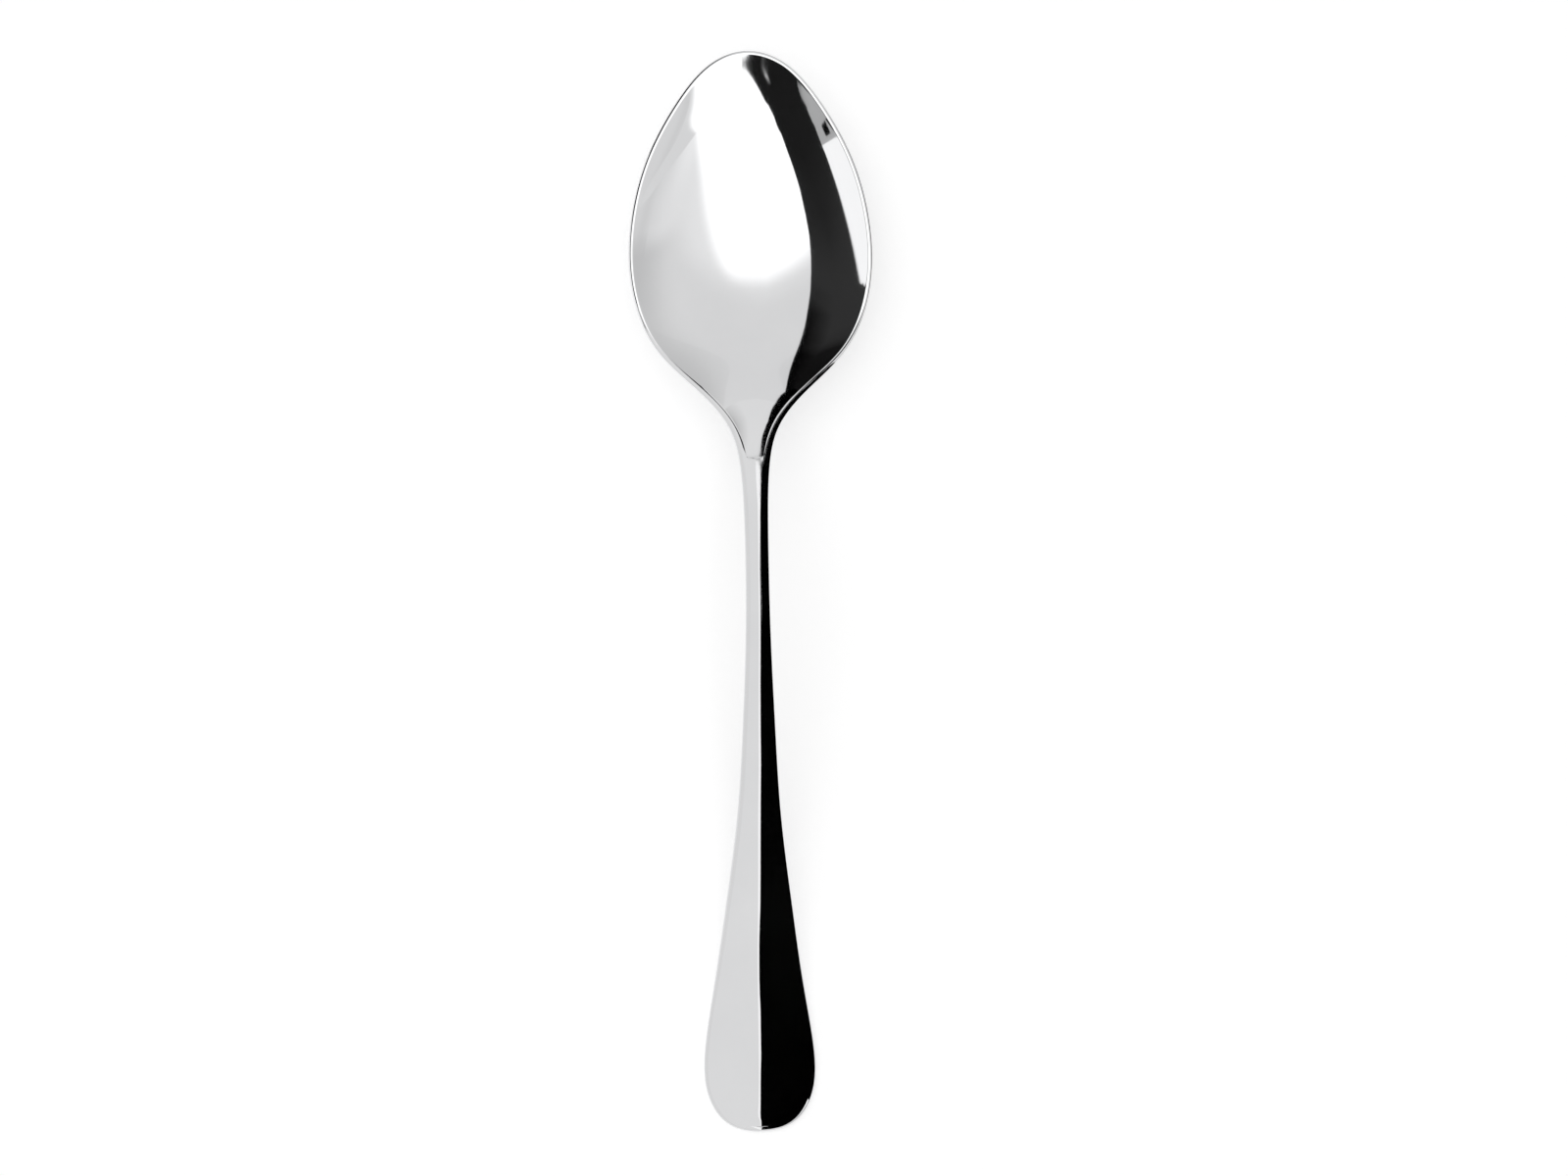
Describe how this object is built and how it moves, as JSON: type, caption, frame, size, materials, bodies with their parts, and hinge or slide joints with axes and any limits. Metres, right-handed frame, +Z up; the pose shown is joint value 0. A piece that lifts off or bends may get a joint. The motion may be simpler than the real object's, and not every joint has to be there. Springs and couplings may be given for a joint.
{
  "type": "tablespoon",
  "caption": "Plain polished steel tablespoon: oval hollow bowl, slim arched stem and a flared, flat-backed handle with a soft centre ridge and a broad round end.",
  "frame": {"origin": "middle of the spoon's length and width, on the table it lies on", "axes": "+Y along the spoon towards the bowl's tip, +Z up out of the hollow of the bowl, +X to the right"},
  "size_m": [0.046, 0.205, 0.0212],
  "materials": {
    "polished_steel": "polished"
  },
  "bodies": {
    "root": {"bowl": "polished_steel", "neck": "polished_steel", "stem": "polished_steel", "handle": "polished_steel"}
  },
  "joints": []
}
